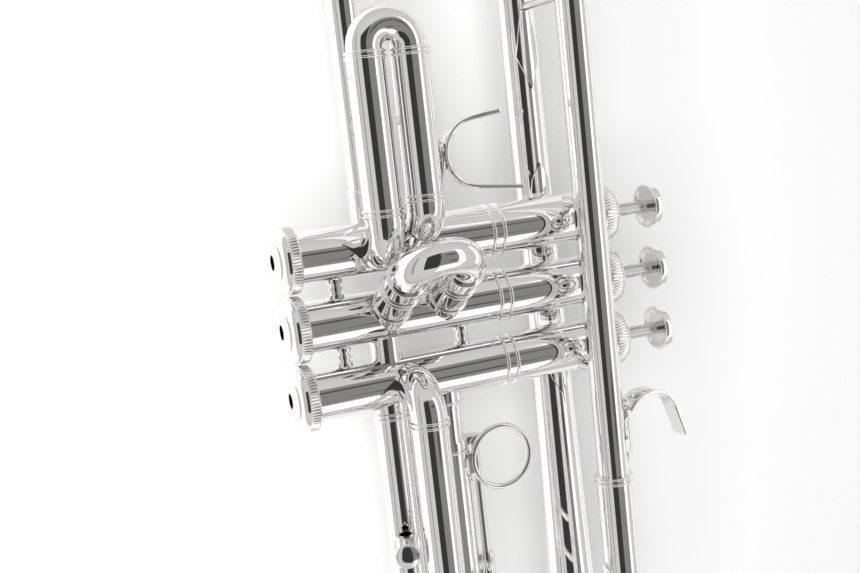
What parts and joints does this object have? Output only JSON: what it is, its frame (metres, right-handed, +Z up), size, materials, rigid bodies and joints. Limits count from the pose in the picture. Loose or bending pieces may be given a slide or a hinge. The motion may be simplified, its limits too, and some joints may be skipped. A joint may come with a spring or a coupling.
{
  "type": "trumpet",
  "caption": "Silver-plated piston-valve trumpet with mouthpiece, pull-out slides, water key, thumb saddle and finger ring, lying on its side.",
  "frame": {"origin": "middle of the outline in plan, at the level it lies on (the lowest point of the bell's rim)", "axes": "+X along the bell towards its rim, +Y towards the finger buttons, +Z up, towards the player's right side"},
  "size_m": [0.5458, 0.1824, 0.1329],
  "materials": {
    "silver_plate": "mirror-bright silver plate over brass",
    "mouthpiece_plate": "mirror-bright silver plate over brass",
    "screw_plate": "polished silver plate",
    "valve_metal": "fine-lapped nickel alloy, slightly oily",
    "spring_wire": "satin spring steel",
    "guide_plastic": "smooth ivory plastic",
    "cork": "matt cork"
  },
  "bodies": {
    "horn": {"valve_casing_1": "silver_plate", "valve_casing_2": "silver_plate", "valve_casing_3": "silver_plate", "casing_spools": "silver_plate", "crossing_tubes": "silver_plate", "bottom_cap_1": "silver_plate", "bottom_cap_2": "silver_plate", "bottom_cap_3": "silver_plate", "top_cap_1": "silver_plate", "top_cap_2": "silver_plate", "top_cap_3": "silver_plate", "valve_guides": "guide_plastic", "mouthpiece_receiver": "silver_plate", "leadpipe": "silver_plate", "leadpipe_sleeve": "silver_plate", "tuning_lower_tube": "silver_plate", "bell": "silver_plate", "bell_flare": "silver_plate", "bell_throat": "silver_plate", "bell_stem": "silver_plate", "bell_bow": "silver_plate", "bell_tail": "silver_plate", "first_tubes": "silver_plate", "second_tubes": "silver_plate", "third_tubes": "silver_plate", "stop_rod": "screw_plate", "stop_nuts": "screw_plate", "lyre_socket": "silver_plate", "finger_hook": "silver_plate", "tube_braces": "silver_plate", "valve_braces": "silver_plate"},
    "valve_1": {"piston_1": "valve_metal", "valve_stem_1": "valve_metal", "finger_button_1": "silver_plate", "valve_spring_1": "spring_wire"},
    "valve_2": {"piston_2": "valve_metal", "valve_stem_2": "valve_metal", "finger_button_2": "silver_plate", "valve_spring_2": "spring_wire"},
    "valve_3": {"piston_3": "valve_metal", "valve_stem_3": "valve_metal", "finger_button_3": "silver_plate", "valve_spring_3": "spring_wire"},
    "first_slide": {"first_slide_bow": "silver_plate", "first_slide_legs": "silver_plate", "thumb_saddle": "silver_plate"},
    "second_slide": {"second_slide_bow": "silver_plate", "second_slide_legs": "silver_plate"},
    "third_slide": {"third_slide_bow": "silver_plate", "third_slide_legs": "silver_plate", "finger_ring": "silver_plate"},
    "tuning_slide": {"tuning_slide_bow": "silver_plate", "tuning_slide_legs": "silver_plate", "tuning_slide_brace": "silver_plate", "water_key_screw": "screw_plate", "water_key_spring": "spring_wire"},
    "water_key": {"water_key": "silver_plate", "water_key_cork": "cork"},
    "lyre_screw": {"lyre_screw": "screw_plate"},
    "mouthpiece": {"mouthpiece": "mouthpiece_plate"}
  },
  "joints": [
    {"name": "valve_1_press", "type": "slide", "parent": "horn", "child": "valve_1", "axis": [0, -1, 0], "range_m": [0, 0.0145], "stiffness_N_per_m": 110, "springref_m": -0.012, "deforming": ["valve_spring_1"]},
    {"name": "valve_2_press", "type": "slide", "parent": "horn", "child": "valve_2", "axis": [0, -1, 0], "range_m": [0, 0.0145], "stiffness_N_per_m": 110, "springref_m": -0.012, "deforming": ["valve_spring_2"]},
    {"name": "valve_3_press", "type": "slide", "parent": "horn", "child": "valve_3", "axis": [0, -1, 0], "range_m": [0, 0.0145], "stiffness_N_per_m": 110, "springref_m": -0.012, "deforming": ["valve_spring_3"]},
    {"name": "first_slide_pull", "type": "slide", "parent": "horn", "child": "first_slide", "axis": [-1, 0, 0], "range_m": [0, 0.022]},
    {"name": "second_slide_pull", "type": "slide", "parent": "horn", "child": "second_slide", "axis": [-0.5299, 0, 0.848], "range_m": [0, 0.01]},
    {"name": "third_slide_pull", "type": "slide", "parent": "horn", "child": "third_slide", "axis": [1, 0, 0], "range_m": [0, 0.018]},
    {"name": "tuning_slide_pull", "type": "slide", "parent": "horn", "child": "tuning_slide", "axis": [1, 0, 0], "range_m": [0, 0.025]},
    {"name": "mouthpiece_pull", "type": "slide", "parent": "horn", "child": "mouthpiece", "axis": [-1, 0, 0], "range_m": [0, 0.023]},
    {"name": "water_key_press", "type": "hinge", "parent": "tuning_slide", "child": "water_key", "pos_m": [0.13115, -0.05624, 0.1084], "axis": [0, 0, -1], "range_deg": [0, 12], "stiffness_Nm_per_rad": 0.02, "springref_deg": -34.38},
    {"name": "lyre_screw_turn", "type": "hinge", "parent": "horn", "child": "lyre_screw", "pos_m": [0.07105, -0.05773, 0.0995], "axis": [0, -0.342, 0.9397], "range_deg": [-180, 180]}
  ]
}
